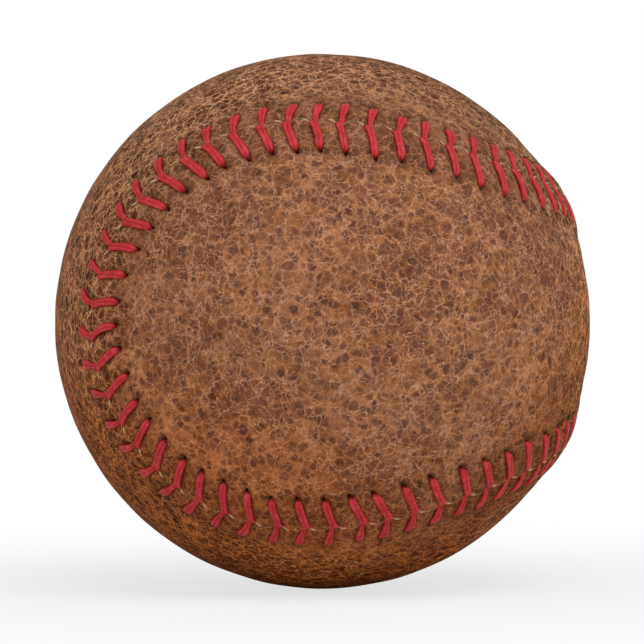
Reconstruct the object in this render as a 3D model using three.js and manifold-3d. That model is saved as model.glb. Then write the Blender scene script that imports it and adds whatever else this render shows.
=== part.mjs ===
// A league baseball, built in the order it is put together: a cushioned cork centre, four
// windings of yarn, two figure-of-eight leather panels and the thread that laces them.
// Millimetres, +Z up, origin at the centre of the ball. The front panel crosses the +X side
// with its neck and faces -Y and +Y with its lobes; the back panel is the same shape, with its
// neck at -X and its lobes at +Z and -Z.

import * as THREE from "three";
import { mergeVertices } from "three/addons/utils/BufferGeometryUtils.js";
import Module from "manifold-3d";

// Ball and seam line
const ballRadius = 36.9;
const neckWidth = 31.8; // between the two runs of the seam at a neck, along the surface
const lobeEndRadius = 16.77; // of the seam's bend round the end of a lobe
const seamGap = 0.3; // between the two cut edges of leather

// Leather
const leatherThickness = 1.3;
const sewnThickness = 0.95; // where the lacing has pressed the leather together
const pillowHeight = 0.6; // of the leather's edge between two stitches, over the ball
const valleyHeight = 0.3; // of the leather under a stitch
const shoulderHeight = 0.15; // behind the holes
const shoulderMargin = 1.1; // of leather between a hole and the shoulder
const slopeWidth = 2.2; // from the shoulder to where the ball is round again

// Stitching: each stitch is a V with a hole in each panel and its point in the seam
const stitchCount = 108;
const firstStitch = -0.14; // place of the first V, in stitch spacings from the seam's start
const holeDistance = 4.5; // from the seam line to the middle of a hole
const holeLag = 1.6; // how far the holes lie behind the point of the V, along the seam
const strandOffset = 0.6; // of each strand from the point of the V, so that the two pass
const threadWidth = 0.95; // of a leg that lies on the leather
const innerThreadWidth = 0.7; // where the thread is squeezed in a hole or under the leather
const threadThickness = 0.6;
const tuckedShare = 0.42; // how far each end is tucked towards the next hole

// Clearance between pieces that touch on the real ball
const fitGap = 0.3;

// Windings, from the outside in; the first one fills what is left round the centre
const finishThickness = 0.5;
const thirdThickness = 2.3;
const secondThickness = 1.8;
const tailHoleRadius = 1.0; // where the tail of the yarn below comes through a winding

// Cushioned cork centre
const coreRadius = 10.3;
const blackShellThickness = 3.7;
const washerThickness = 1.6;
const redCoverThickness = 2.1;

// Fineness of the faceted surfaces
const straightBend = 0.1; // sine of the least bend that turns the thread's section
const panelRibs = 24;
const ribSteps = 8;
const sphereDetail = 3;
const latheSegments = 20;

const wasm = await Module();
wasm.setup();

// The seam is one closed curve of four runs between the two necks. The pace at which it goes
// round a neck sets how tightly it bends there, which is also the end of the other panel's lobe.
const seamRise = Math.PI / 2 - neckWidth / 2 / ballRadius;
const endBend = ballRadius / lobeEndRadius + Math.tan(seamRise);
const endPace = Math.sqrt(seamRise / endBend) / Math.cos(seamRise);
const seamBow = (endPace - 1 / 2) / 2;

class Seam extends THREE.Curve {
  getPoint(share, target = new THREE.Vector3()) {
    const turn = 4 * Math.PI * share;
    const latitude = seamRise * Math.cos(turn);
    const longitude = turn / 2 + seamBow * Math.sin(2 * turn);
    target.set(
      -Math.sin(latitude),
      -Math.cos(latitude) * Math.cos(longitude),
      Math.cos(latitude) * Math.sin(longitude),
    );
    return target.multiplyScalar(ballRadius);
  }
}
const seam = new Seam();
seam.arcLengthDivisions = 2880;
const seamLength = seam.getLength();
const pitch = seamLength / stitchCount;

const wrap = (along) => ((along % seamLength) + seamLength) % seamLength;

// Unit direction, from the centre, of the place so far along the seam and so far across it.
// Across is positive on the front panel and negative on the back panel.
function directionAt(along, across) {
  const share = wrap(along) / seamLength;
  const out = seam.getPointAt(share).normalize();
  const toFront = seam.getTangentAt(share).cross(out).normalize();
  const angle = across / ballRadius;
  return out.multiplyScalar(Math.cos(angle)).addScaledVector(toFront, Math.sin(angle));
}

// Point over or under the ball's surface at that place.
function pointAt(along, across, height) {
  return directionAt(along, across).multiplyScalar(ballRadius + height);
}

const stitchAlong = (number) => (number + firstStitch) * pitch;

// Holes are an easy fit for the thread.
const holeSize = threadWidth + 2 * fitGap;
const shoulderDistance = holeDistance + holeSize / 2 + shoulderMargin;
const raisedDistance = shoulderDistance + slopeWidth;

// Where one leg of a stitch lies: its hole in the panel on that side, and its dive into the seam.
function stitchLeg(number, side) {
  const point = stitchAlong(number);
  return { hole: [point + holeLag, side * holeDistance], dive: [point - side * strandOffset, 0] };
}

function indexedGeometry(points, triangles) {
  const geometry = new THREE.BufferGeometry();
  geometry.setFromPoints(points);
  geometry.setIndex(triangles.flat());
  geometry.computeVertexNormals();
  return geometry;
}

// A sheet of leather as a closed solid: its outer face, its inner face and the walls that join
// them round every edge and hole.
class Sheet {
  corners = [];
  faces = [];

  add(direction, height, thickness) {
    this.corners.push({ direction, top: height, bottom: height - thickness });
    return this.corners.length - 1;
  }

  // Size of a triangle, positive where it runs counterclockwise seen from outside the ball.
  size(a, b, c) {
    const [p, q, r] = [a, b, c].map((corner) => this.corners[corner].direction);
    const normal = new THREE.Vector3().subVectors(q, p).cross(new THREE.Vector3().subVectors(r, p));
    return normal.dot(p);
  }

  // Adds a triangle, turned so that it faces out of the ball.
  face(a, b, c) {
    this.faces.push(this.size(a, b, c) > 0 ? [a, b, c] : [a, c, b]);
  }

  // Adds a four-sided patch, split along the diagonal that leaves the fuller triangles.
  patch(a, b, c, d) {
    const way = Math.sign(this.size(a, b, c) + this.size(a, c, d));
    const slimmest = (...sizes) => Math.min(...sizes.map((size) => way * size));
    const splitAC = slimmest(this.size(a, b, c), this.size(a, c, d));
    const splitBD = slimmest(this.size(a, b, d), this.size(b, c, d));
    const halves = splitAC > splitBD ? [[a, b, c], [a, c, d]] : [[a, b, d], [b, c, d]];
    halves.forEach((half) => this.face(...half));
  }

  // Joins two rings of corners that run the same way along the seam.
  bridge(ringA, ringB) {
    const place = (ring, index) => {
      const lap = Math.floor(index / ring.length);
      return ring[index % ring.length].along + lap * seamLength;
    };
    const middle = (ring, index) => place(ring, index) + place(ring, index + 1);
    let a = 0;
    let b = 0;
    while (a < ringA.length || b < ringB.length) {
      const cornerA = ringA[a % ringA.length].corner;
      const cornerB = ringB[b % ringB.length].corner;
      const stepA = b >= ringB.length || (a < ringA.length && middle(ringA, a) <= middle(ringB, b));
      if (stepA) this.face(cornerA, ringA[++a % ringA.length].corner, cornerB);
      else this.face(cornerA, ringB[++b % ringB.length].corner, cornerB);
    }
  }

  geometry() {
    const inner = this.corners.length;
    const at = (face) =>
      this.corners.map((corner) => corner.direction.clone().multiplyScalar(ballRadius + corner[face]));
    const triangles = [...this.faces];
    const open = new Map();
    for (const [a, b, c] of this.faces) {
      triangles.push([a + inner, c + inner, b + inner]);
      for (const [from, to] of [[a, b], [b, c], [c, a]]) {
        const other = to + ":" + from;
        if (open.has(other)) open.delete(other);
        else open.set(from + ":" + to, [from, to]);
      }
    }
    for (const [from, to] of open.values()) {
      triangles.push([to, from, from + inner], [to, from + inner, to + inner]);
    }
    return indexedGeometry([...at("top"), ...at("bottom")], triangles);
  }
}

// Leather panel: side is 1 for the front panel and -1 for the back one.
function leatherPanel(side) {
  const sheet = new Sheet();
  const put = (along, across, height, thickness) =>
    sheet.add(directionAt(along, side * across), height, thickness);

  // The notch that lets both strands down between the edges, beside a stitch.
  const notchAlong = strandOffset + innerThreadWidth / 2;
  const notchDepth = innerThreadWidth / 2 + fitGap;
  const shoulderLag = (holeLag * shoulderDistance) / holeDistance;
  const edges = [];
  const shoulders = [];
  for (let k = 0; k < stitchCount; k++) {
    edges.push(put(stitchAlong(k) - pitch / 2, seamGap / 2, pillowHeight, sewnThickness));
    const along = wrap(stitchAlong(k) + shoulderLag - pitch / 2);
    shoulders.push({ along, corner: put(along, shoulderDistance, shoulderHeight, leatherThickness) });
  }

  // The hole is square to the leg of the stitch that comes out of it.
  const square = [[1, -1], [1, 1], [-1, 1], [-1, -1]];
  for (let k = 0; k < stitchCount; k++) {
    const notch = [-1, 1].map((end) =>
      put(stitchAlong(k) + end * notchAlong, notchDepth, valleyHeight, sewnThickness),
    );
    const { hole, dive } = stitchLeg(k, side);
    const middle = directionAt(...hole);
    const leg = directionAt(...dive).sub(middle).projectOnPlane(middle).normalize();
    const across = new THREE.Vector3().crossVectors(leg, middle).multiplyScalar(side);
    const rim = square.map(([x, y]) => {
      const corner = middle.clone().multiplyScalar(ballRadius);
      corner.addScaledVector(leg, (x * holeSize) / 2).addScaledVector(across, (y * holeSize) / 2);
      return sheet.add(corner.normalize(), valleyHeight, sewnThickness);
    });
    const next = (k + 1) % stitchCount;
    const [edge, nextEdge] = [edges[k], edges[next]];
    const [shoulder, nextShoulder] = [shoulders[k].corner, shoulders[next].corner];
    sheet.patch(notch[0], notch[1], rim[1], rim[0]);
    sheet.face(notch[1], nextEdge, rim[1]);
    sheet.patch(nextEdge, nextShoulder, rim[2], rim[1]);
    sheet.patch(nextShoulder, shoulder, rim[3], rim[2]);
    sheet.patch(shoulder, edge, rim[0], rim[3]);
    sheet.face(edge, notch[0], rim[0]);
  }

  // The rest is ribbed across, from each place on one half of the seam to its mirror image.
  const start = side > 0 ? 0 : seamLength / 4;
  const ringCount = 2 * panelRibs;
  const ring = Array.from({ length: ringCount }, (_, index) => {
    const along = wrap(start + (index * seamLength) / ringCount);
    return { along, corner: put(along, raisedDistance, 0, leatherThickness) };
  });
  const byPlace = (a, b) => a.along - b.along;
  sheet.bridge([...shoulders].sort(byPlace), [...ring].sort(byPlace));

  const rows = [[ring[0].corner]];
  for (let rib = 1; rib < panelRibs; rib++) {
    const [from, to] = [ring[ringCount - rib].corner, ring[rib].corner];
    const [low, high] = [from, to].map((corner) => sheet.corners[corner].direction);
    const angle = low.angleTo(high);
    const between = Array.from({ length: ribSteps - 1 }, (_, index) => {
      const share = (index + 1) / ribSteps;
      const direction = low.clone().multiplyScalar(Math.sin((1 - share) * angle));
      direction.addScaledVector(high, Math.sin(share * angle)).normalize();
      return sheet.add(direction, 0, leatherThickness);
    });
    rows.push([from, ...between, to]);
  }
  rows.push([ring[panelRibs].corner]);
  for (let rib = 0; rib < panelRibs; rib++) {
    const [row, next] = [rows[rib], rows[rib + 1]];
    for (let step = 0; step < ribSteps; step++) {
      if (row.length === 1) sheet.face(row[0], next[step], next[step + 1]);
      else if (next.length === 1) sheet.face(row[step], row[step + 1], next[0]);
      else sheet.patch(row[step], next[step], next[step + 1], row[step + 1]);
    }
  }
  return sheet.geometry();
}

// Heights of the thread's middle line over and under the leather.
const overHeight = valleyHeight + fitGap + threadThickness / 2;
const underHeight = valleyHeight - sewnThickness - fitGap - threadThickness / 2;

// One strand of the thread, stitch by stitch: up through a hole, over to the seam, down between
// the edges and under the other panel to its next hole. Side is where it first comes up.
function strandRoute(firstSide) {
  const route = [];
  for (let number = 0; number < stitchCount; number++) {
    const { hole, dive } = stitchLeg(-number, number % 2 ? -firstSide : firstSide);
    route.push({ centre: pointAt(...hole, underHeight), width: innerThreadWidth });
    route.push({ centre: pointAt(...hole, overHeight), width: threadWidth });
    route.push({ centre: pointAt(...dive, overHeight), width: (threadWidth + innerThreadWidth) / 2 });
    route.push({ centre: pointAt(...dive, underHeight), width: innerThreadWidth });
  }
  const lastSide = stitchCount % 2 ? firstSide : -firstSide;
  const { dive } = stitchLeg(1 - stitchCount, lastSide);
  const { hole } = stitchLeg(-stitchCount, -lastSide);
  const end = [0, 1].map((axis) => dive[axis] + tuckedShare * (hole[axis] - dive[axis]));
  route.push({ centre: pointAt(...end, underHeight), width: innerThreadWidth });
  return route;
}

// The thread is one tube of four faces, mitred at each bend of its route. Each ring of four
// corners is numbered from the corner that twists the tube least.
function laceTube(route) {
  const points = [];
  const triangles = [];
  const rings = route.map(({ centre, width }, index) => {
    const before = route[Math.max(index - 1, 0)].centre;
    const after = route[Math.min(index + 1, route.length - 1)].centre;
    const arriving = new THREE.Vector3().subVectors(centre, before).normalize();
    const leaving = new THREE.Vector3().subVectors(after, centre).normalize();
    if (index === 0) arriving.copy(leaving);
    if (index === route.length - 1) leaving.copy(arriving);
    const heading = new THREE.Vector3().addVectors(arriving, leaving).normalize();
    const sideways = new THREE.Vector3().crossVectors(arriving, leaving);
    if (sideways.length() < straightBend) sideways.crossVectors(heading, centre);
    sideways.addScaledVector(heading, -sideways.dot(heading)).normalize();
    const thickness = new THREE.Vector3().crossVectors(heading, sideways);
    const stretch = 1 / heading.dot(arriving);
    sideways.multiplyScalar(width / 2);
    thickness.multiplyScalar((stretch * threadThickness) / 2);
    return { centre, axes: [sideways, thickness, sideways.clone().negate(), thickness.clone().negate()] };
  });
  let turn = 0;
  rings.forEach(({ centre, axes }, index) => {
    if (index > 0) {
      const previous = rings[index - 1].placed;
      const likeness = (shift) =>
        axes.reduce((sum, _, corner) => sum + previous[corner].dot(axes[(corner + shift) % 4]), 0);
      turn = [0, 1, 2, 3].reduce((best, shift) => (likeness(shift) > likeness(best) ? shift : best), 0);
    }
    rings[index].placed = axes.map((_, corner) => axes[(corner + turn) % 4]);
    points.push(...rings[index].placed.map((axis) => new THREE.Vector3().addVectors(centre, axis)));
    if (index === 0) return;
    const [low, high] = [4 * (index - 1), 4 * index];
    for (let corner = 0; corner < 4; corner++) {
      const next = (corner + 1) % 4;
      triangles.push([low + corner, low + next, high + next], [low + corner, high + next, high + corner]);
    }
  });
  const end = points.length - 4;
  triangles.push([0, 2, 1], [0, 3, 2], [end, end + 1, end + 2], [end, end + 2, end + 3]);
  return indexedGeometry(points, triangles);
}

// Both strands are the halves of one thread, whose middle lies under the seam at the start.
function lacingThread() {
  const middle = { centre: pointAt(stitchAlong(0) + holeLag, 0, underHeight), width: innerThreadWidth };
  return laceTube([...strandRoute(1).reverse(), middle, ...strandRoute(-1)]);
}

function solidOf(geometry) {
  geometry.deleteAttribute("normal");
  geometry.deleteAttribute("uv");
  const merged = mergeVertices(geometry);
  return new wasm.Manifold(
    new wasm.Mesh({
      numProp: 3,
      vertProperties: merged.getAttribute("position").array,
      triVerts: new Uint32Array(merged.index.array),
    }),
  );
}

function geometryOf(solid) {
  const mesh = solid.getMesh();
  const geometry = new THREE.BufferGeometry();
  geometry.setAttribute("position", new THREE.BufferAttribute(mesh.vertProperties, 3));
  geometry.setIndex(new THREE.BufferAttribute(mesh.triVerts, 1));
  geometry.computeVertexNormals();
  return geometry;
}

const roundSolid = (radius) => solidOf(new THREE.IcosahedronGeometry(radius, sphereDetail));

// A winding is a hollow ball, open only where the yarn's tail comes through.
function winding(outerRadius, innerRadius) {
  const tail = new THREE.CylinderGeometry(tailHoleRadius, tailHoleRadius, outerRadius, 8);
  tail.rotateX(Math.PI / 2);
  tail.translate(0, 0, outerRadius);
  return geometryOf(roundSolid(outerRadius).subtract(roundSolid(innerRadius)).subtract(solidOf(tail)));
}

// Half of a moulded rubber shell, with its rim at this height and its crown up the Z axis.
function halfShell(innerRadius, thickness, rim) {
  const arc = (radius) => {
    const quarter = latheSegments / 4;
    return Array.from({ length: quarter + 1 }, (_, step) => {
      const angle = step === 0 ? Math.asin(rim / radius) : (step * 2 * Math.PI) / latheSegments;
      return new THREE.Vector2(step === quarter ? 0 : radius * Math.cos(angle), radius * Math.sin(angle));
    });
  };
  const profile = [...arc(innerRadius).reverse(), ...arc(innerRadius + thickness)];
  const shell = new THREE.LatheGeometry(profile, latheSegments);
  shell.rotateX(Math.PI / 2);
  return geometryOf(solidOf(shell));
}

// A flat ring round the Z axis.
function flatRing(innerRadius, outerRadius, thickness) {
  const half = thickness / 2;
  const profile = [
    new THREE.Vector2(innerRadius, -half),
    new THREE.Vector2(outerRadius, -half),
    new THREE.Vector2(outerRadius, half),
    new THREE.Vector2(innerRadius, half),
    new THREE.Vector2(innerRadius, -half),
  ];
  const ring = new THREE.LatheGeometry(profile, latheSegments);
  ring.rotateX(Math.PI / 2);
  return geometryOf(solidOf(ring));
}

const leather = new THREE.MeshStandardMaterial({ color: 0x85583a, roughness: 0.75, metalness: 0 });
const redThread = new THREE.MeshStandardMaterial({ color: 0xc42a3c, roughness: 0.6, metalness: 0 });
const whiteYarn = new THREE.MeshStandardMaterial({ color: 0xe8e2d2, roughness: 0.95, metalness: 0 });
const greyYarn = new THREE.MeshStandardMaterial({ color: 0x8b8d8e, roughness: 0.95, metalness: 0 });
const blackRubber = new THREE.MeshStandardMaterial({ color: 0x1d1c1c, roughness: 0.7, metalness: 0 });
const redRubber = new THREE.MeshStandardMaterial({ color: 0x9d2f2a, roughness: 0.6, metalness: 0 });
const cork = new THREE.MeshStandardMaterial({ color: 0xa87c52, roughness: 0.9, metalness: 0 });

const baseball = new THREE.Group();
baseball.name = "baseball";

function addPiece(name, geometry, material) {
  const piece = new THREE.Mesh(geometry, material);
  piece.name = name;
  baseball.add(piece);
  return piece;
}

// The cushioned cork centre
addPiece("cork_core", new THREE.IcosahedronGeometry(coreRadius, sphereDetail), cork);
const flatness = Math.cos(Math.PI / latheSegments) ** 2; // of a turned ball's facets
const blackInner = (coreRadius + fitGap) / flatness;
const blackRim = washerThickness / 2 + fitGap;
const blackShell = () => halfShell(blackInner, blackShellThickness, blackRim);
addPiece("rubber_shell_upper", blackShell(), blackRubber);
addPiece("rubber_shell_lower", blackShell(), blackRubber).rotation.x = Math.PI;
const blackOuter = blackInner + blackShellThickness;
addPiece("rubber_washer", flatRing(blackInner, blackOuter, washerThickness), redRubber);
const redInner = blackOuter + fitGap / flatness;
const redCover = () => halfShell(redInner, redCoverThickness, fitGap / 2);
addPiece("rubber_cover_upper", redCover(), redRubber);
addPiece("rubber_cover_lower", redCover(), redRubber).rotation.x = Math.PI;
const centreRadius = redInner + redCoverThickness;

// The windings: the finishing yarn bears on the leather's facets and on the thread under them
const facetSag = (seamLength / 2 / panelRibs) ** 2 / 4 / ballRadius;
const underThread = ballRadius + underHeight - threadThickness / 2;
const finishRadius = Math.min(underThread, ballRadius - leatherThickness - facetSag) - fitGap;
const thirdRadius = finishRadius - finishThickness - fitGap;
const secondRadius = thirdRadius - thirdThickness - fitGap;
const firstRadius = secondRadius - secondThickness - fitGap;
addPiece("winding_first", winding(firstRadius, centreRadius + 2 * fitGap), greyYarn);
addPiece("winding_second", winding(secondRadius, firstRadius + fitGap), whiteYarn);
addPiece("winding_third", winding(thirdRadius, secondRadius + fitGap), greyYarn);
addPiece("winding_finish", winding(finishRadius, thirdRadius + fitGap), whiteYarn);

// The cover
addPiece("cover_panel_front", leatherPanel(1), leather);
addPiece("cover_panel_back", leatherPanel(-1), leather);
addPiece("lacing_thread", lacingThread(), redThread);

export default baseball;
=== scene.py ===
import math

import bpy
import numpy as np
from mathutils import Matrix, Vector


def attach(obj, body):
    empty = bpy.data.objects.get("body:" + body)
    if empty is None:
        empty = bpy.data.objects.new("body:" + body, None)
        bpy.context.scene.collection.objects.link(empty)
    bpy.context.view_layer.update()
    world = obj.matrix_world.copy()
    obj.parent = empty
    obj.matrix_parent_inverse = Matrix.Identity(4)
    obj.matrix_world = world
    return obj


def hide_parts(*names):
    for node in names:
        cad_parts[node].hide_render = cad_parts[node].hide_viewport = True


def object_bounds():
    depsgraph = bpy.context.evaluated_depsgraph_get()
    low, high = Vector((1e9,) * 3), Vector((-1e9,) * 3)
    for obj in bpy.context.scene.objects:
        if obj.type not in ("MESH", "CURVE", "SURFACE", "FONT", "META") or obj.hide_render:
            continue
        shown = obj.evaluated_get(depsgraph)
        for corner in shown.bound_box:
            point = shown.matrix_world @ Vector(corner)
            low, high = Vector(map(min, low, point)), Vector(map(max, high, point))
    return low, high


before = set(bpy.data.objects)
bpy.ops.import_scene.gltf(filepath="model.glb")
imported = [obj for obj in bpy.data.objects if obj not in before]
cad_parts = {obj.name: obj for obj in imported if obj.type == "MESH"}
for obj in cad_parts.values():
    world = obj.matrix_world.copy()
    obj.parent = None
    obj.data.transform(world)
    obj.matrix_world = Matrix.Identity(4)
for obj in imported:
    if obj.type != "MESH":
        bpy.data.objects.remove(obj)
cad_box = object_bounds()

# The camera looks at the front panel's lobe from a little over half a metre away, through a long
# lens and almost level, a few degrees round to the ball's left.
camera_distance = 0.5937
camera_azimuth = math.radians(-9.85)
camera_elevation = math.radians(1.03)
camera_roll = math.radians(-0.29)
frame_pixels = 644
ball_off_centre = (0.6, 0.7)  # pixels to the right and up

bpy.ops.object.select_all(action="DESELECT")
camera_place = (
    camera_distance * math.sin(camera_azimuth) * math.cos(camera_elevation),
    -camera_distance * math.cos(camera_azimuth) * math.cos(camera_elevation),
    camera_distance * math.sin(camera_elevation),
)
bpy.ops.object.camera_add(
    location=camera_place, rotation=(math.pi / 2 - camera_elevation, 0, camera_azimuth)
)
camera = bpy.context.object
camera.name = "camera"
camera.rotation_euler.rotate_axis("Z", camera_roll)
camera.data.lens = 240.1
camera.data.sensor_width = 36
camera.data.shift_x = -ball_off_centre[0] / frame_pixels
camera.data.shift_y = -ball_off_centre[1] / frame_pixels
camera.data.clip_start = 0.05
camera.data.clip_end = 20
bpy.context.scene.camera = camera
bpy.context.scene.view_settings.view_transform = "Standard"


# The studio: a pale floor close under the ball, a large soft lamp above in front and a smaller one
# on each side. What the camera sees past the floor is white.
def soft_lamp(name, place, width, height, power):
    bpy.ops.object.select_all(action="DESELECT")
    bpy.ops.object.light_add(type="AREA", location=place)
    lamp = bpy.context.object
    lamp.name = name
    lamp.data.shape = "RECTANGLE"
    lamp.data.size = width
    lamp.data.size_y = height
    lamp.data.energy = power
    lamp.rotation_euler = (-lamp.location).to_track_quat("-Z", "Y").to_euler()


soft_lamp("lamp_above", (0.15, -0.75, 0.95), width=0.9, height=0.7, power=6.4)
soft_lamp("lamp_right", (0.95, -0.55, 0.35), width=0.7, height=0.7, power=2.4)
soft_lamp("lamp_left", (-0.95, -0.5, 0.65), width=0.7, height=0.7, power=2.2)


class Nodes:
    """Short calls for the nodes of a tree."""

    def __init__(self, tree):
        self.tree = tree

    def node(self, kind, sources=None, **settings):
        """A new node with those settings, its inputs fed by name."""
        made = self.tree.nodes.new("ShaderNode" + kind)
        for key, value in settings.items():
            setattr(made, key, value)
        for name, source in (sources or {}).items():
            self.feed(made.inputs[name], source)
        return made

    def feed(self, socket, source):
        if hasattr(source, "is_output"):
            self.tree.links.new(source, socket)
        else:
            socket.default_value = source

    def math(self, operation, *sources, kind="Math", output="Value"):
        made = self.node(kind, operation=operation)
        for socket, source in zip(made.inputs, sources):
            self.feed(socket, source)
        return made.outputs[output]

    def vector(self, operation, *sources, output="Vector"):
        return self.math(operation, *sources, kind="VectorMath", output=output)

    def steps(self, source, low, high, start=0.0, end=1.0):
        given = {"Value": source, "From Min": low, "From Max": high, "To Min": start, "To Max": end}
        return self.node("MapRange", given, interpolation_type="SMOOTHSTEP").outputs["Result"]


world = bpy.data.worlds.new("studio")
bpy.context.scene.world = world
world.use_nodes = True
world_light = 0.42
sky = Nodes(world.node_tree)
rays = sky.node("LightPath").outputs
seen = sky.math("MAXIMUM", rays["Is Camera Ray"], rays["Is Transmission Ray"])
strength = sky.node("MapRange", {"Value": seen, "To Min": world_light, "To Max": 1.0})
background = sky.tree.nodes["Background"]
sky.feed(background.inputs["Color"], (1, 1, 1, 1))
sky.feed(background.inputs["Strength"], strength.outputs["Result"])

floor_size = 8.0
floor_gap = 0.0001  # under the ball
floor_glow = 0.72  # beside the ball, of the white that it fades to
fade_start, fade_end = 0.02, 0.16  # from the ball's middle
bpy.ops.object.select_all(action="DESELECT")
bpy.ops.mesh.primitive_plane_add(size=floor_size, location=(0, 0, cad_box[0].z - floor_gap))
floor = bpy.context.object
floor.name = "floor"
floor_finish = bpy.data.materials.new("pale_floor")
floor_finish.use_nodes = True
pale = Nodes(floor_finish.node_tree)
pale.tree.nodes.clear()
painted = pale.node("BsdfDiffuse", {"Color": (0.86, 0.86, 0.86, 1)})
glow = pale.node("Emission", {"Color": (1, 1, 1, 1)})
far_out = pale.vector("LENGTH", pale.node("TexCoord").outputs["Object"], output="Value")
fade = pale.steps(far_out, fade_start, fade_end, floor_glow, 1.0)
share = pale.math("MULTIPLY", pale.node("LightPath").outputs["Is Camera Ray"], fade)
either = pale.node("MixShader", {"Fac": share})
pale.feed(either.inputs[1], painted.outputs["BSDF"])
pale.feed(either.inputs[2], glow.outputs["Emission"])
pale.node("OutputMaterial", {"Surface": either.outputs["Shader"]})
floor.data.materials.append(floor_finish)


# The cork core: a ball pressed from cork grains and ground rubber and baked hard. Its face shows
# the grains and the small pits between them.
mm = 0.001
core_radius = 10.3 * mm
pit_depth = 0.22 * mm
pit_size = 1.1 * mm
grain_density = 1.1  # of the cork grains, to a millimetre


def linear(red, green, blue):
    """A colour as a screen shows it, 0 to 255 each, in the linear values that a shader takes."""
    shares = [value / 255 for value in (red, green, blue)]
    bent = [s / 12.92 if s <= 0.04045 else ((s + 0.055) / 1.055) ** 2.4 for s in shares]
    return (*bent, 1.0)


class Finish(Nodes):
    """A material under construction."""

    def __init__(self, name):
        self.material = bpy.data.materials.new(name)
        self.material.use_nodes = True
        super().__init__(self.material.node_tree)
        self.shader = self.tree.nodes["Principled BSDF"]

    def mix(self, share, first, second, blend="MIX"):
        made = self.node("Mix", {"Factor": share}, data_type="RGBA", blend_type=blend)
        for socket, source in zip([s for s in made.inputs if s.type == "RGBA"], (first, second)):
            self.feed(socket, source)
        return [s for s in made.outputs if s.type == "RGBA"][0]

    def layers(self, colour, *layers):
        """The colour with others over it, each given as its share and its colour on a screen."""
        for share, layer in layers:
            colour = self.mix(share, colour, linear(*layer))
        return colour

    def noise(self, place, scale, detail=2.0, rough=0.5, distortion=0.0, output="Fac"):
        given = {"Vector": place, "Scale": scale, "Detail": detail, "Roughness": rough}
        return self.node("TexNoise", {**given, "Distortion": distortion}).outputs[output]

    def swayed(self, place, scale, reach):
        """The places, each moved up to half the reach by a noise of that scale."""
        sway = self.noise(place, scale, 2.0, 0.6, output="Color")
        sway = self.vector("SUBTRACT", sway, (0.5, 0.5, 0.5))
        return self.vector("MULTIPLY_ADD", sway, (reach, reach, reach), place)

    def cells(self, place, density, feature="F1"):
        return self.node("TexVoronoi", {"Vector": place, "Scale": density}, feature=feature).outputs

    def from_joint(self, place, density):
        """How far each place lies from the nearest joint between two cells."""
        return self.cells(place, density, "DISTANCE_TO_EDGE")["Distance"]

    def shades(self, cells):
        """A random colour for each cell, as three separate shares."""
        return self.node("SeparateColor", {"Color": cells["Color"]}).outputs

    def parts(self, vector):
        return self.node("SeparateXYZ", {"Vector": vector}).outputs

    def millimetres(self, density=(1, 1, 1)):
        """Places on the piece in millimetres, or in more or fewer steps to a millimetre."""
        metres = self.node("TexCoord").outputs["Object"]
        scale = [steps * 1000 for steps in density]
        return self.node("Mapping", {"Vector": metres, "Scale": scale}).outputs["Vector"]

    def attribute(self, name):
        return self.node("Attribute", attribute_name=name).outputs["Fac"]

    def bump(self, height, distance, strength=1.0):
        made = self.node("Bump", {"Height": height, "Distance": distance, "Strength": strength})
        self.set(Normal=made.outputs["Normal"])

    def set(self, **values):
        for name, value in values.items():
            self.feed(self.shader.inputs[name.replace("_", " ")], value)


def placed(piece, name, node, slot, finish):
    """Gives a finished piece its name and material, and puts it in its node's place."""
    piece.name = piece.data.name = name
    piece.data.materials.clear()
    piece.data.materials.append(finish)
    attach(piece, "root")
    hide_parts(node)


bpy.ops.object.select_all(action="DESELECT")
bpy.ops.mesh.primitive_ico_sphere_add(subdivisions=6, radius=core_radius)
cork_ball = bpy.context.object
pits = cork_ball.modifiers.new("pits", "DISPLACE")
pits.texture = bpy.data.textures.new("grain_pits", "VORONOI")
pits.texture.noise_scale = pit_size
pits.texture_coords = "LOCAL"
pits.mid_level = 1.0
pits.strength = pit_depth
bpy.ops.object.modifier_apply(modifier=pits.name)
bpy.ops.object.shade_smooth()

cork = Finish("pressed_cork")
place = cork.millimetres()
grain_shades = cork.shades(cork.cells(place, grain_density))
grain_colour = cork.mix(grain_shades["Red"], linear(142, 94, 56), linear(196, 146, 96))
crumbs = cork.noise(place, 3.0, 4.0, 0.7)
joint = cork.from_joint(place, grain_density)
grain_colour = cork.layers(
    grain_colour,
    (cork.steps(crumbs, 0.52, 0.66, 0.0, 0.8), (58, 36, 24)),
    (cork.steps(joint, 0.0, 0.12, 0.7, 0.0), (66, 42, 30)),
)
cork.bump(crumbs, 0.08 * mm, 0.7)
cork.set(Base_Color=grain_colour, Roughness=0.85, Specular_IOR_Level=0.2)
placed(cork_ball, "cork_ball", "cork_core", "cork", cork.material)


# The two black rubber half shells are moulded over the core. Their flat rims face each other
# across the washer that seals the joint.
shell_inside, shell_outside = 10.866 * mm, 14.566 * mm
shell_rim = 1.1 * mm  # of each half, from the middle of the ball
shell_rounding = 0.25 * mm
ball_segments, ball_rings = 96, 64


def round_edges(piece, width):
    """Rounds the sharp edges of a piece, and leaves it smooth between them."""
    edges = piece.modifiers.new("rounded_edges", "BEVEL")
    edges.width = width
    edges.segments = 3
    edges.limit_method = "ANGLE"
    edges.angle_limit = math.radians(40)
    bpy.ops.object.modifier_apply(modifier=edges.name)
    bpy.ops.object.shade_smooth_by_angle(angle=math.radians(50))


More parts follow.
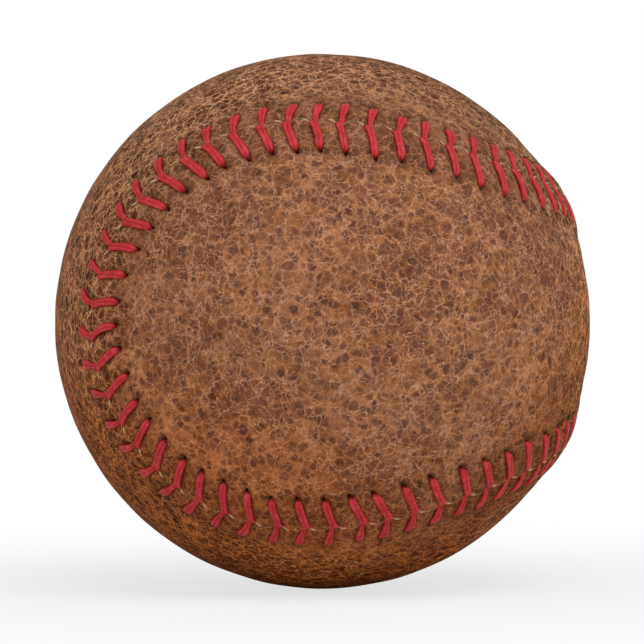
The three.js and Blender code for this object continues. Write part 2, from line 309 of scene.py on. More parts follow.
def half_shell(inside, outside, rim, way, rounding):
    """Half of a hollow ball with a flat rim, its edges a little rounded. Way is 1 up, -1 down."""
    bpy.ops.object.select_all(action="DESELECT")
    bpy.ops.mesh.primitive_uv_sphere_add(segments=ball_segments, ring_count=ball_rings, radius=outside)
    shell = bpy.context.object
    bpy.ops.object.mode_set(mode="EDIT")
    bpy.ops.mesh.primitive_uv_sphere_add(segments=ball_segments, ring_count=ball_rings, radius=inside)
    bpy.ops.mesh.flip_normals()
    bpy.ops.mesh.select_all(action="SELECT")
    bpy.ops.mesh.bisect(plane_co=(0, 0, way * rim), plane_no=(0, 0, way), clear_inner=True)
    bpy.ops.mesh.bridge_edge_loops()
    bpy.ops.object.mode_set(mode="OBJECT")
    round_edges(shell, rounding)
    return shell


def moulded_rubber(name, dark, light, roughness):
    """Rubber from a mould: nearly even, with a fine bloom and the mould's faint orange peel."""
    rubber = Finish(name)
    place = rubber.millimetres()
    bloom = rubber.noise(place, 0.35, 4.0, 0.6)
    peel = rubber.noise(place, 2.4, 3.0, 0.6)
    specks = rubber.noise(place, 9.0, 2.0, 0.7)
    tone = rubber.mix(rubber.steps(bloom, 0.35, 0.65), dark, light)
    tone = rubber.mix(rubber.steps(specks, 0.5, 0.7, 0.0, 0.35), tone, light)
    rubber.bump(peel, 0.05 * mm, 0.5)
    rubber.set(Base_Color=tone, Roughness=rubber.steps(bloom, 0.3, 0.7, roughness, roughness + 0.15))
    return rubber.material


black_rubber = moulded_rubber("black_moulded_rubber", linear(24, 23, 23), linear(46, 44, 43), 0.5)
for half, way in (("upper", 1), ("lower", -1)):
    shell = half_shell(shell_inside, shell_outside, shell_rim, way, shell_rounding)
    placed(shell, "black_shell_" + half, "rubber_shell_" + half, "black_rubber", black_rubber)


# The washer: a flat ring of red rubber, cut from a sheet. It is laid between the rims of the black
# half shells and seals the joint when they are pressed together.
washer_thickness = 1.6 * mm
washer_rounding = 0.2 * mm

bpy.ops.object.select_all(action="DESELECT")
bpy.ops.mesh.primitive_circle_add(
    vertices=128, radius=shell_outside, fill_type="NGON", location=(0, 0, -washer_thickness / 2)
)
washer = bpy.context.object
bpy.ops.object.transform_apply(location=True)
bpy.ops.object.mode_set(mode="EDIT")
bpy.ops.mesh.select_all(action="SELECT")
bpy.ops.mesh.inset(thickness=shell_outside - shell_inside)
bpy.ops.mesh.delete(type="FACE")
bpy.ops.mesh.select_all(action="SELECT")
bpy.ops.mesh.extrude_region_move(TRANSFORM_OT_translate={"value": (0, 0, washer_thickness)})
bpy.ops.mesh.select_all(action="SELECT")
bpy.ops.mesh.normals_make_consistent()
bpy.ops.object.mode_set(mode="OBJECT")
round_edges(washer, washer_rounding)
red_rubber = moulded_rubber("red_moulded_rubber", linear(146, 40, 34), linear(172, 62, 52), 0.5)
placed(washer, "washer_ring", "rubber_washer", "red_rubber", red_rubber)


# The red rubber cover comes in two halves too, cemented over the black shells. With it the centre
# is ready to be wound.
cover_inside, cover_outside = 14.873 * mm, 16.973 * mm
cover_rim = 0.15 * mm
cover_rounding = 0.12 * mm

for half, way in (("upper", 1), ("lower", -1)):
    shell = half_shell(cover_inside, cover_outside, cover_rim, way, cover_rounding)
    placed(shell, "red_cover_" + half, "rubber_cover_" + half, "red_rubber", red_rubber)


# The windings: three of wool, grey, white and grey, and a finishing one of cotton and polyester.
# Each is one yarn wound in great circles all over the ball, a few turns side by side at a time.
ball_cuts = 100  # across each face of the cube that is rounded to a ball
turns_together = 6
yarn_twist = 3.4  # turns' widths along the yarn for one twist of its plies
turn_wander = 0.15  # of a turn to either side, in its widths
level_spread = 0.2  # between the turns of a group, in heights of a turn
group_spread = 1.2  # between one group and another
turn_height = 0.8
ply_height = 0.04
ply_slant = 1.1
shade_step = 0.618  # from one turn's shade to the next one's


def unit(vectors):
    return vectors / np.linalg.norm(vectors, axis=-1, keepdims=True)


def dot(a, b):
    return np.einsum("ij,ij->i", a, b)


def mark_corners(mesh, name, values):
    """Gives each corner of the mesh a value, which its material reads."""
    marks = mesh.attributes.new(name, "FLOAT", "POINT")
    marks.data.foreach_set("value", values.astype(np.float32))


def great_circles(outside, width, groups, seed):
    """The axes of all the turns on the outside of a winding, and how high each one lies."""
    chance = np.random.default_rng(seed)
    axes, levels = [], []
    for _ in range(groups):
        axis = unit(chance.normal(size=3))
        tilt = unit(np.cross(axis, chance.normal(size=3)))
        for turn in range(turns_together):
            angle = (turn + chance.uniform(-turn_wander, turn_wander)) * width / outside
            axes.append(axis * math.cos(angle) + tilt * math.sin(angle))
            levels.append(chance.uniform(0, level_spread))
        for turn in range(-turns_together, 0):
            levels[turn] += chance.uniform(0, group_spread)
    return np.array(axes), np.array(levels)


def wound_ball(inside, outside, depth, width, groups, seed):
    """A hollow ball of yarn: its turns stand out up to that depth, and its inner wall is smooth."""
    bpy.ops.object.select_all(action="DESELECT")
    bpy.ops.mesh.primitive_cube_add(size=2)
    ball = bpy.context.object
    bpy.ops.object.mode_set(mode="EDIT")
    bpy.ops.mesh.subdivide(number_cuts=ball_cuts)
    bpy.ops.object.mode_set(mode="OBJECT")
    corners = np.zeros(len(ball.data.vertices) * 3)
    ball.data.vertices.foreach_get("co", corners)
    out = unit(np.tan(corners.reshape(-1, 3) * math.pi / 4))

    axes, levels = great_circles(outside, width, groups, seed)
    height = np.full(len(out), -1.0)
    turn_of = np.zeros(len(out), int)
    for turn, (axis, level) in enumerate(zip(axes, levels)):
        off = np.arcsin(np.clip(out @ axis, -1, 1)) * outside / (width / 2)
        arch = turn_height * np.sqrt(np.clip(1 - off * off, 0, 1))
        over = np.where(np.abs(off) < 1, level + arch, -1)
        on_top = over > height
        height[on_top], turn_of[on_top] = over[on_top], turn
    axis = axes[turn_of]
    level_with = unit(np.cross(axis, (0.36, 0.48, 0.8)))
    square_to = np.cross(axis, level_with)
    along = np.arctan2(dot(out, square_to), dot(out, level_with))
    across = np.arcsin(np.clip(dot(out, axis), -1, 1))
    plies = np.sin(2 * math.pi * (along / yarn_twist + across * ply_slant) * outside / width)
    height = (np.maximum(height, 0) / height.max() + ply_height * plies) / (1 + ply_height)
    radius = outside - depth * (1 - height)
    ball.data.vertices.foreach_set("co", (out * radius[:, None]).ravel())
    mark_corners(ball.data, "yarn_turn", np.mod(turn_of * shade_step, 1))
    mark_corners(ball.data, "yarn_ply", plies * 0.5 + 0.5)
    bpy.ops.object.mode_set(mode="EDIT")
    bpy.ops.mesh.select_all(action="DESELECT")
    bpy.ops.mesh.primitive_ico_sphere_add(subdivisions=5, radius=inside)
    bpy.ops.mesh.flip_normals()
    bpy.ops.object.mode_set(mode="OBJECT")
    bpy.ops.object.shade_smooth()
    return ball


def spun_yarn(name, dark, light, roughness):
    """Yarn of twisted plies: each turn of its own tone, with painted shade between the plies, and loose
    fibres.
    """
    yarn = Finish(name)
    fibres = yarn.noise(yarn.millimetres(), 5.0, 3.0, 0.75, 0.6)
    tone = yarn.mix(yarn.steps(yarn.attribute("yarn_turn"), 0.0, 1.0, 0.25, 1.0), dark, light)
    # Painted shade between the plies.
    tone = yarn.mix(yarn.steps(yarn.attribute("yarn_ply"), 0.0, 0.6, 0.4, 0.0), tone, dark)
    tone = yarn.mix(yarn.steps(fibres, 0.5, 0.7, 0.0, 0.5), tone, light)
    yarn.bump(fibres, 0.12 * mm, 0.7)
    yarn.set(Base_Color=tone, Roughness=roughness, Specular_IOR_Level=0.2, Sheen_Weight=0.3)
    return yarn.material


grey_wool = spun_yarn("grey_wool", linear(118, 120, 124), linear(166, 168, 170), 0.9)
white_wool = spun_yarn("white_wool", linear(196, 190, 172), linear(236, 232, 218), 0.9)
white_cotton = spun_yarn("white_cotton", linear(206, 202, 190), linear(240, 238, 230), 0.8)
# Name, inside and outside of the winding, how far its turns stand out, the yarn's width, groups of
# turns, slot and finish.
for number, (name, inside, outside, depth, width, groups, slot, finish) in enumerate(
    (
        ("first", 17.573, 29.335, 1.7, 2.2, 44, "grey_yarn", grey_wool),
        ("second", 29.635, 31.435, 1.3, 1.9, 54, "white_yarn", white_wool),
        ("third", 31.735, 34.035, 1.3, 1.9, 58, "grey_yarn", grey_wool),
        ("finish", 34.335, 34.835, 0.38, 1.3, 84, "white_yarn", white_cotton),
    )
):
    ball = wound_ball(inside * mm, outside * mm, depth * mm, width * mm, groups, 31 + number)
    placed(ball, "yarn_" + name, "winding_" + name, slot, finish)


# The seam: one closed curve round the ball, of four runs between the two necks of the leather.
# Every place on the cover is given by how far it lies along the seam and across it, in metres.
ball_radius = 36.9 * mm
neck_width = 31.8 * mm
lobe_end_radius = 16.77 * mm
stitch_count = 108
first_stitch = -0.14  # in stitch spacings from the seam's start
seam_samples = 21600

seam_rise = math.pi / 2 - neck_width / 2 / ball_radius
end_bend = ball_radius / lobe_end_radius + math.tan(seam_rise)
end_pace = math.sqrt(seam_rise / end_bend) / math.cos(seam_rise)
seam_bow = (end_pace - 1 / 2) / 2

seam_turn = np.linspace(0, 4 * math.pi, seam_samples + 1)
latitude = seam_rise * np.cos(seam_turn)
longitude = seam_turn / 2 + seam_bow * np.sin(2 * seam_turn)
seam_out = np.stack(
    [-np.sin(latitude), -np.cos(latitude) * np.cos(longitude), np.cos(latitude) * np.sin(longitude)],
    axis=1,
)
seam_steps = np.linalg.norm(np.diff(seam_out, axis=0), axis=1) * ball_radius
seam_place = np.concatenate([[0], np.cumsum(seam_steps)])
seam_length = seam_place[-1]
pitch = seam_length / stitch_count
seam_ahead = np.roll(seam_out[:-1], -1, axis=0) - np.roll(seam_out[:-1], 1, axis=0)
seam_ahead = np.vstack([seam_ahead, seam_ahead[:1]])
seam_to_front = unit(np.cross(seam_ahead, seam_out))


def read_along(table, along):
    place = np.mod(along, seam_length)
    return np.stack([np.interp(place, seam_place, table[:, axis]) for axis in range(3)], axis=-1)


def on_cover(along, across, height):
    """Points that far along the seam, across it (positive on the front panel) and over the ball."""
    along, across, height = np.broadcast_arrays(along, across, height)
    angle = (across / ball_radius)[..., None]
    place = read_along(seam_out, along) * np.cos(angle)
    place += read_along(seam_to_front, along) * np.sin(angle)
    return unit(place) * (ball_radius + height)[..., None]


# Each stitch is a V with a hole in each panel and its point in the seam. The hand that sewed them
# set no two quite alike: round the lobe that faces the camera they lie a little further apart.
stitch_drift = 1.55 * mm
drift_middle = 3 * mm
drift_width = 11 * mm
front_hole = 4.2 * mm  # from the seam to where a thread comes up
back_hole = 3.52 * mm
hole_lag = 1.0 * mm  # of the holes behind the point of the V, along the seam
dive_offset = 0.2 * mm  # of each leg from the point of the V
stitch_setback = 0.65 * mm
limb_start = 90 * mm  # along the seam, where the ball turns away from the camera


def hill(off, width):
    """1 in the middle, falling away to nothing on both sides."""
    return np.exp(-((off / width) ** 2))


hand = np.random.default_rng(216)


def uneven(spread):
    """A small length for each stitch, as the hand had it."""
    return hand.normal(0, spread, stitch_count)


stitch_number = np.arange(stitch_count)
even_place = (stitch_number + first_stitch) * pitch
near_start = np.mod(even_place + seam_length / 2, seam_length) - seam_length / 2
drift = np.tanh((near_start - drift_middle) / drift_width) - 2 * near_start / seam_length
stitch_shift = stitch_drift * drift - stitch_setback + uneven(0.10 * mm)
# Each hill is a stretch of the seam, by its middle and its reach, that was sewn a little otherwise.
leg_lag = {
    1: hole_lag + 0.5 * mm * hill(near_start - 14 * mm, 26 * mm) + uneven(0.16 * mm),
    -1: hole_lag - 0.42 * mm * hill(near_start - 46 * mm, 28 * mm) + uneven(0.14 * mm),
}
leg_hole = {
    1: front_hole - 0.55 * mm * hill(near_start - 96 * mm, 24 * mm) + uneven(0.12 * mm),
    -1: back_hole
    - 0.35 * mm * hill(near_start - 1 * mm, 9 * mm)
    - 0.55 * mm * hill(np.abs(near_start) - 98 * mm, 26 * mm)
    + uneven(0.16 * mm),
}


def by_stitch(values, number):
    """A value of each stitch, read at any place between them: level at a stitch, then blended."""
    steady = 0.32
    nearest = np.floor(number + 0.5)
    beside = np.sign(number - nearest)
    share = np.clip((np.abs(number - nearest) - steady) / (1 - 2 * steady), 0, 0.5)
    here = values[np.mod(nearest, stitch_count).astype(int)]
    there = values[np.mod(nearest + beside, stitch_count).astype(int)]
    return here + (there - here) * share


def leg_along(number, side, across):
    """Where a leg's middle line lies along the seam, at that distance from it."""
    dive = -side * dive_offset
    lag = by_stitch(leg_lag[side], number) - dive
    place = (number + first_stitch) * pitch + by_stitch(stitch_shift, number)
    return place + dive + lag * across / by_stitch(leg_hole[side], number)


def smooth_step(value, low, high):
    share = np.clip((value - low) / (high - low), 0, 1)
    return share * share * (3 - 2 * share)


# The two leather panels: figure-of-eight hides, 1.3 mm thick, cut edge to cut edge. Between two
# stitches the edge swells over the seam, under a stitch it is pressed into a valley, and each hole
# is punched right through. Their cut edges are paler than the dyed grain.
leather_thickness = 1.3 * mm
sewn_depth = 0.62 * mm  # of the leather's underside at the seam, under the round of the ball
crest_height = 0.70 * mm  # of its face at the seam, over the round of the ball
valley_depth = 0.40 * mm  # under a leg
swell_height = 0.11 * mm  # between two legs
dimple_depth = 0.18 * mm  # at a hole
wide_valley, valley_width, hole_width = 0.85 * mm, 0.68 * mm, 0.5 * mm
edge_proud = {1: 0.06 * mm, -1: -0.04 * mm}  # at the seam, of the front and of the back panel
edge_bend = {1: 0.13 * mm, -1: 0.24 * mm}  # radius of the cut edge's corner
edge_pushed = {1: 0.12 * mm, -1: 0.42 * mm}  # off the seam, by a thread
edge_swell = 0.33 * mm  # of the back panel over the seam, between two threads
pale_edge = {1: 0.11 * mm, -1: 0.06 * mm}  # of undyed leather that shows
drawn_hole = 4.5  # where the rows below put a hole's middle, before each hole's own distance
slot_lines = [-0.22, -0.075, 0.075, 0.22]
side_lines = [0.32, 0.45, 0.61, 0.82, 1.08, 1.38, 1.62]
edge_rows = [0, 0.035, 0.075, 0.125, 0.19, 0.3, 0.48, 0.74]
valley_rows = [1.04, 1.36, 1.7, 2.05, 2.4, 2.75, 3.1, 3.42, 3.7, 3.93]
hole_rows = [4.12, 4.34, 4.56, 4.8, 5.04, 5.28, 5.5]
outer_rows = [5.72, 6.0, 6.4, 7.0]
slope_rows = [7.6, 8.2, 8.8]
under_lines = [-0.86, -0.32, *slot_lines, 0.32, 0.86]
under_rows = [0, 0.48, 1.7, 3.1, 3.93, *hole_rows, 5.72, 6.4, 7.0]
far_off = 9 * mm  # from every hole and edge
waves, wave_height, wave_lengths = 14, 0.011 * mm, (5, 13)
face_ribs, face_steps = 216, 58
under_ribs, under_steps = 54, 16


def undulated(places):
    """Places on the hide with its slow rise and fall, of waves in all directions."""
    chance = np.random.default_rng(5)
    height = np.zeros(places.shape[:-1])
    for _ in range(waves):
        heading = chance.normal(size=3)
        heading *= 2 * math.pi / (chance.uniform(*wave_lengths) * mm) / np.linalg.norm(heading)
        height += wave_height * np.sin(places @ heading + chance.uniform(0, 2 * math.pi))
    return places + places / ball_radius * height[..., None]


def cut_edge(side, number):
    """How far the cut edge lies from the seam: pushed off by the threads, swollen between them."""
    off = np.abs(number - np.floor(number + 0.5)) * pitch
    between = smooth_step(off, 0.6 * mm, 1.3 * mm)
    beside_thread = 1 - smooth_step(off, 0.40 * mm, 0.75 * mm)
    return 0.03 * mm + edge_pushed[side] * beside_thread - side * edge_swell * between


def cell_grid(side, lines, rows):
    """Places on a grid of rows by columns, one stitch after another: along, across, and how far
    from the leg, from the cut edge and past the hole."""
    lines = np.array([-pitch / mm / 2, *lines]) * mm
    offset = np.tile(lines, stitch_count)
    number = np.repeat(stitch_number, len(lines)) + offset / pitch
    rows = np.array(rows)[:, None] * mm
    hole = by_stitch(leg_hole[side], number)
    stretch = hole / (drawn_hole * mm)
    last_hole_row, last_row = hole_rows[-1] * mm, outer_rows[-1] * mm
    past_holes = (last_row - last_hole_row * stretch) / (last_row - last_hole_row)
    far = last_row - (last_row - rows) * past_holes
    stretched = np.where(rows <= last_hole_row, rows * stretch, far)
    across = stretched + cut_edge(side, number) * np.exp(-rows / (1.2 * mm))
    middle = leg_along(number, side, across) - offset
    # Where the ball's round draws the columns together or apart, they are set back in step.
    step = 0.05 * mm
    ends = [on_cover(middle + way * step, side * across, 0) for way in (-1, 1)]
    spread = np.linalg.norm(ends[1] - ends[0], axis=-1) / (2 * step)
    reach = np.abs(offset) / (pitch / 2)
    # Round a hole the columns stand further apart, which opens it to its width.
    wide = 1 + hill(across - hole + 0.1 * mm, 0.42 * mm) * hill(offset, 0.62 * mm)
    along = middle + offset * wide * (1 / spread + (1 - 1 / spread) * reach)
    return along, across, np.abs(offset * wide), rows * np.ones_like(across), across - hole


def crown(side, across, from_leg, from_edge, past_hole):
    """Height of the leather's face over the round of the ball."""
    # The crest falls off to the round of the ball: a steep part, then a long foot.
    rise = crest_height - 0.55 * mm * smooth_step(across, 1.2 * mm, 6.4 * mm)
    rise = rise - 0.15 * mm * smooth_step(across, 6.0 * mm, 8.8 * mm)
    rise = rise + edge_proud[side] * (1 - smooth_step(across, 0.4 * mm, 2 * mm))
    fade = 1 - smooth_step(past_hole, 0.3 * mm, 2.0 * mm)
    valley = valley_depth * fade * hill(from_leg, valley_width)
    swell = swell_height * fade * smooth_step(from_leg, 0.6 * mm, 1.7 * mm)
    dimple = dimple_depth * hill(past_hole - 0.3 * mm, 0.8 * mm) * hill(from_leg, hole_width)
    inside = np.clip(1 - from_edge / edge_bend[side], 0, 1)
    roll = edge_bend[side] * (1 - np.sqrt(1 - inside**2))
    return rise - valley + swell - dimple - roll


def under_height(across):
    return -sewn_depth - (leather_thickness - sewn_depth) * smooth_step(across, 4.6 * mm, 6.6 * mm)


def bridge(ring_a, ring_b):
    """Triangles between two rings of (place along the seam, corner), each in order of place."""
    faces = []
    a = b = 0

    def place(ring, index):
        return ring[index % len(ring)][0] + index // len(ring) * seam_length

    while a < len(ring_a) or b < len(ring_b):
        corner_a, corner_b = ring_a[a % len(ring_a)][1], ring_b[b % len(ring_b)][1]
        middle_a = place(ring_a, a) + place(ring_a, a + 1)
        middle_b = place(ring_b, b) + place(ring_b, b + 1)
        if b >= len(ring_b) or (a < len(ring_a) and middle_a <= middle_b):
            a += 1
            faces.append((corner_a, ring_a[a % len(ring_a)][1], corner_b))
        else:
            b += 1
            faces.append((corner_a, ring_b[b % len(ring_b)][1], corner_b))
    return faces


def in_order(along, corners):
    """A ring's places and corners, from the one that lies first past the seam's start."""
    places = np.mod(along, seam_length)
    order = np.roll(np.arange(len(places)), -int(np.argmin(places)))
    return [(float(places[i]), int(corners[i])) for i in order]


def faces_round(corners):
    """Faces between rows of corners, each of which closes on itself."""
    after = np.roll(corners, -1, axis=1)
    return np.stack([corners[:-1], after[:-1], after[1:], corners[1:]], axis=-1)


def new_piece(corners, faces):
    mesh = bpy.data.meshes.new("piece")
    mesh.from_pydata(corners.tolist(), [], faces)
    mesh.update()
    mesh.shade_smooth()
    piece = bpy.data.objects.new("piece", mesh)
    bpy.context.scene.collection.objects.link(piece)
    return piece


class Hide:
    """The corners and faces of one panel, gathered skin by skin."""

    def __init__(self, side):
        self.side = side
        self.corners = []
        self.marks = []
        self.faces = []

    def add(self, places, edge=0.0, stitch=0.0, hole=0.0):
        first = len(self.corners)
        self.corners.extend(places.reshape(-1, 3))
        marks = np.broadcast_arrays(edge, stitch, hole, places[..., 0])[:3]
        self.marks.extend(np.stack(marks, axis=-1).reshape(-1, 3))
        return np.arange(first, len(self.corners)).reshape(places.shape[:-1])

    def cover(self, faces, under):
        """Adds faces that are all wound alike, so that they look out of the ball, or into it."""
        points = np.array(self.corners)
        a, b, c = (points[faces[:, i]] for i in (0, 1, 2))
        looks_in = dot(np.cross(b - a, c - a), a).sum() <= 0
        self.faces += (faces if looks_in == under else faces[:, ::-1]).tolist()

    def sewn_band(self, lines, rows, under):
        """The band beside the seam, with its holes. Returns its two borders and the holes' rims."""
        along, across, from_leg, from_edge, past_hole = cell_grid(self.side, lines, rows)
        if under:
            places = on_cover(along, self.side * across, under_height(across))
            corners = self.add(places, edge=1.0)
        else:
            height = crown(self.side, across, from_leg, from_edge, past_hole)
            places = undulated(on_cover(along, self.side * across, height))
            # The marks: the pale cut edge, painted shade round each leg and beside the seam, and painted
            # shade in each hole.
            fade = 1 - smooth_step(past_hole, 0.4 * mm, 1.8 * mm)
            beside = 1 - smooth_step(past_hole, 0.0, 2.6 * mm)
            corners = self.add(
                places,
                edge=1 - smooth_step(from_edge, 0.03 * mm, pale_edge[self.side]),
                stitch=np.maximum(hill(from_leg, wide_valley) * fade, 0.45 * beside),
                hole=hill(from_leg, hole_width) * hill(past_hole - 0.35 * mm, 0.75 * mm),
            )
        size = len(lines) + 1
        first_line = 1 + lines.index(slot_lines[0])
        first_row = rows.index(hole_rows[0])
        quads = faces_round(corners)
        row, column = np.indices(quads.shape[:2])
        in_lines = (column % size >= first_line) & (column % size < first_line + len(slot_lines) - 1)
        in_rows = (row >= first_row) & (row < first_row + len(hole_rows) - 1)
        self.cover(quads[~(in_lines & in_rows)], under)
        cells = corners.reshape(len(rows), stitch_count, size)
        cells = cells[first_row : first_row + len(hole_rows)]
        slot = cells[:, :, first_line : first_line + len(slot_lines)]
        rims = np.concatenate(
            [slot[0, :, :-1], slot[:-1, :, -1].T, slot[-1, :, :0:-1], slot[:0:-1, :, 0].T], axis=1
        )
        return in_order(along[0], corners[0]), in_order(along[-1], corners[-1]), rims

    def middle(self, border, rows, ribs, steps, under):
        """The rest of a skin, ribbed across from one run of the seam to its mirror image."""
        start = 0.0 if self.side > 0 else seam_length / 4
        place = start + np.arange(2 * ribs) * seam_length / (2 * ribs)
        for value in rows:
            far = np.full(2 * ribs, value * mm)
            height = under_height(far) if under else crown(self.side, far, far_off, far_off, far_off)
            places = on_cover(place, self.side * far, height)
            ring = self.add(places if under else undulated(places))
            following = in_order(place, ring)
            self.cover(np.array(bridge(border, following)), under)
            border = following
        base = on_cover(place, self.side * rows[-1] * mm, 0) / ball_radius
        rib = np.arange(1, ribs)
        low, high = base[2 * ribs - rib], base[rib]
        angle = np.arccos(np.clip(dot(low, high), -1, 1))[:, None, None]
        share = (np.arange(1, steps) / steps)[None, :, None]
        places = low[:, None] * np.sin((1 - share) * angle) + high[:, None] * np.sin(share * angle)
        places *= (ball_radius + (under_height(far_off) if under else 0)) / np.sin(angle)
        between = self.add(places if under else undulated(places))
        lines = np.concatenate([ring[2 * ribs - rib][:, None], between, ring[rib][:, None]], axis=1)
        quads = np.stack([lines[:-1, :-1], lines[1:, :-1], lines[1:, 1:], lines[:-1, 1:]], axis=-1)
        self.cover(quads.reshape(-1, 4), under)
        for tip, line in ((ring[0], lines[0]), (ring[ribs], lines[-1])):
            self.cover(np.stack([np.full(steps, tip), line[:-1], line[1:]], axis=-1), under)

    def walls(self, rims, feet):
        """The walls of the holes."""
        for rim, foot in zip(rims, feet):
            wall = np.stack([rim, np.roll(rim, -1), np.roll(foot, -1), foot], axis=-1)
            self.faces += wall[:, ::-1].tolist() if self.side > 0 else wall.tolist()

    def made(self):
        panel = new_piece(np.array(self.corners), self.faces)
        for mark, values in zip(("cut_edge", "by_stitch", "hole_shade"), np.array(self.marks).T):
            mark_corners(panel.data, mark, values)
        return panel


def leather_panel(side):
    """A panel of leather. Side is 1 for the front one, -1 for the back one."""
    hide = Hide(side)
    all_lines = [-x for x in reversed(side_lines)] + slot_lines + side_lines
    face_rows = edge_rows + valley_rows + hole_rows + outer_rows
    edge, border, rims = hide.sewn_band(all_lines, face_rows, under=False)
    under_edge, under_border, feet = hide.sewn_band(under_lines, under_rows, under=True)
    hide.middle(border, slope_rows, face_ribs, face_steps, under=False)
    hide.middle(under_border, slope_rows[-1:], under_ribs, under_steps, under=True)
    hide.walls(rims, feet)
    wall = bridge(edge, under_edge)
    hide.faces += wall if side > 0 else [face[::-1] for face in wall]
    return hide.made()


def grained_leather():
    """Dyed and waxed hide: dark plates of about a millimetre in a net of worn, paler creases."""
    leather = Finish("grained_brown_leather")
    place = leather.millimetres()
    steps = leather.steps

    def product(first, *others):
        for other in others:
            first = leather.math("MULTIPLY", first, other)
        return first

    def highest(first, *others):
        for other in others:
            first = leather.math("MAXIMUM", first, other)
        return first

    grain = leather.noise(place, 2.6, 4.0, 0.8)
    specks = leather.noise(place, 4.5, 3.0, 0.85, 0.5)
    wear = leather.noise(place, 0.62, 4.0, 0.7)
    dye = leather.noise(place, 0.30, 3.0, 0.6)
    stain = leather.noise(place, 0.055, 3.0, 0.55)

    # The creases, of four sizes: between the plates, folds across them, small ones and long ones.
    bent = leather.swayed(leather.swayed(place, 0.33, 2.2), 1.5, 0.45)
    fold_place = leather.swayed(leather.swayed(place, 0.5, 2.0), 2.4, 0.5)
    from_plate = leather.from_joint(bent, 0.80)
    from_fold = leather.from_joint(fold_place, 0.45)
    from_small = leather.from_joint(leather.swayed(bent, 2.6, 0.35), 1.75)
    from_long = leather.from_joint(leather.swayed(place, 0.45, 3.2), 0.24)
    worn = steps(wear, 0.38, 0.62, 0.15, 0.9)
    plate_line = product(steps(from_plate, 0.0, 0.07, 1.0, 0.0), worn)
    fold_worn = steps(dye, 0.40, 0.56, 0.35, 1.0)
    fold_line = product(steps(from_fold, 0.0, 0.05, 1.0, 0.0), fold_worn)
    small_worn = steps(dye, 0.38, 0.6, 0.1, 1.0)
    small_line = product(steps(from_small, 0.0, 0.12, 0.2, 0.0), small_worn)
    long_line = steps(from_long, 0.0, 0.03, 0.9, 0.0)
    veins = highest(plate_line, small_line, long_line, fold_line)
    veins = product(veins, steps(grain, 0.38, 0.58, 0.3, 1.0))

    # The ground between them, stained in wide patches, and the plates' dark middles.
    plates = leather.cells(bent, 0.80)
    plate_shades = leather.shades(plates)
    dark_plate = steps(plate_shades["Green"], 0.0, 0.65, 0.35, 0.9)
    deep = product(steps(plates["Distance"], 0.34, 0.70, 1.0, 0.0), dark_plate)
    plate = leather.mix(plate_shades["Red"], linear(74, 44, 40), linear(108, 68, 57))
    colour = leather.layers(
        leather.mix(steps(dye, 0.35, 0.65), linear(126, 75, 45), linear(157, 98, 62)),
        (steps(stain, 0.48, 0.64, 0.0, 0.55), (100, 56, 42)),
        (steps(stain, 0.36, 0.48, 0.35, 0.0), (184, 122, 84)),
    )
    raised = leather.math("MULTIPLY_ADD", deep, -0.5, 1.0)
    colour = leather.layers(
        leather.mix(deep, colour, plate),
        (product(steps(grain, 0.48, 0.64, 0.0, 0.5), raised), (186, 118, 72)),
        (steps(specks, 0.36, 0.50, 0.28, 0.0), (62, 30, 20)),
        (steps(specks, 0.54, 0.68, 0.0, 0.26), (206, 140, 92)),
        (veins, (208, 150, 112)),
    )

    # Round the front panel's lobe, where the hide is stretched over the ball's side, its creases are
    # coarser, on a darker ground that is painted shade near the ball's outline seen from the front.
    # Towards the back they fade, and over the back half they show at less than half strength.
    from_axis = leather.vector("LENGTH", leather.vector("MULTIPLY", place, (1, 0, 1)), output="Value")
    axes = leather.parts(place)
    towards_front = steps(axes["Y"], -12, 12, 1.0, 0.0)
    rim = product(steps(from_axis, 27.5, 35), towards_front)
    rim = highest(rim, steps(axes["Y"], -10, 12, 0.0, 0.42))
    coarse = leather.swayed(leather.swayed(leather.millimetres((0.5, 0.7, 0.5)), 0.8, 0.9), 2.2, 0.35)
    coarse_plates = leather.cells(coarse, 1.0)
    hollows = steps(coarse_plates["Distance"], 0.2, 0.65, 0.75, 0.0)
    hollow_share = steps(leather.shades(coarse_plates)["Red"], 0.3, 0.9, 0.0, 1.0)
    ridges = steps(leather.from_joint(coarse, 1.0), 0.005, 0.06, 1.0, 0.0)
    ridges = highest(ridges, fold_line, product(plate_line, 0.8))
    # First the darker ground, which is painted shade; then the coarse plates' dark middles and the pale
    # ridges of the grain.
    colour = leather.layers(
        colour,
        (product(rim, steps(dye, 0.35, 0.65, 0.66, 0.36)), (68, 35, 18)),
        (product(hollows, hollow_share, rim), (56, 28, 18)),
        (product(ridges, steps(grain, 0.38, 0.56, 0.35, 1.0), rim), (236, 174, 124)),
    )

    # Painted shade: the leather is deeper in colour low on the ball and darker at its lower left, where
    # less light falls. It is also darker high on its right, and warmer at its right and left sides.
    below = leather.vector("DOT_PRODUCT", place, (-0.010, 0.0, -0.024), output="Value")
    left = leather.math("MULTIPLY", axes["X"], -1.0)
    aside = highest(leather.math("ADD", axes["X"], 6.0), left)
    low_corner = leather.math("SUBTRACT", aside, axes["Z"])
    top_right = leather.math("MULTIPLY_ADD", axes["X"], 0.6, axes["Z"])
    right = leather.math("MULTIPLY_ADD", axes["Z"], -0.5, axes["X"])
    for share, tint in (
        (steps(below, 0.2, 0.9), (1.26, 0.91, 0.50)),
        (steps(low_corner, 36, 50), (0.70, 0.61, 0.50)),
        (steps(top_right, 33, 43), (0.71, 0.70, 0.72)),
        (steps(right, 22, 36), (1.13, 0.98, 0.76)),
        (steps(left, 25, 35), (1.04, 0.94, 0.82)),
    ):
        colour = leather.mix(share, colour, (*tint, 1), "MULTIPLY")

    # Painted shade: darker round each leg and over the band from the seam to the holes, and dark in the
    # holes. The cut edges are pale.
    colour = leather.layers(
        colour,
        (product(leather.attribute("by_stitch"), 0.52), (74, 44, 28)),
        (product(leather.attribute("hole_shade"), 0.7), (34, 20, 12)),
        (leather.attribute("cut_edge"), (255, 228, 188)),
    )

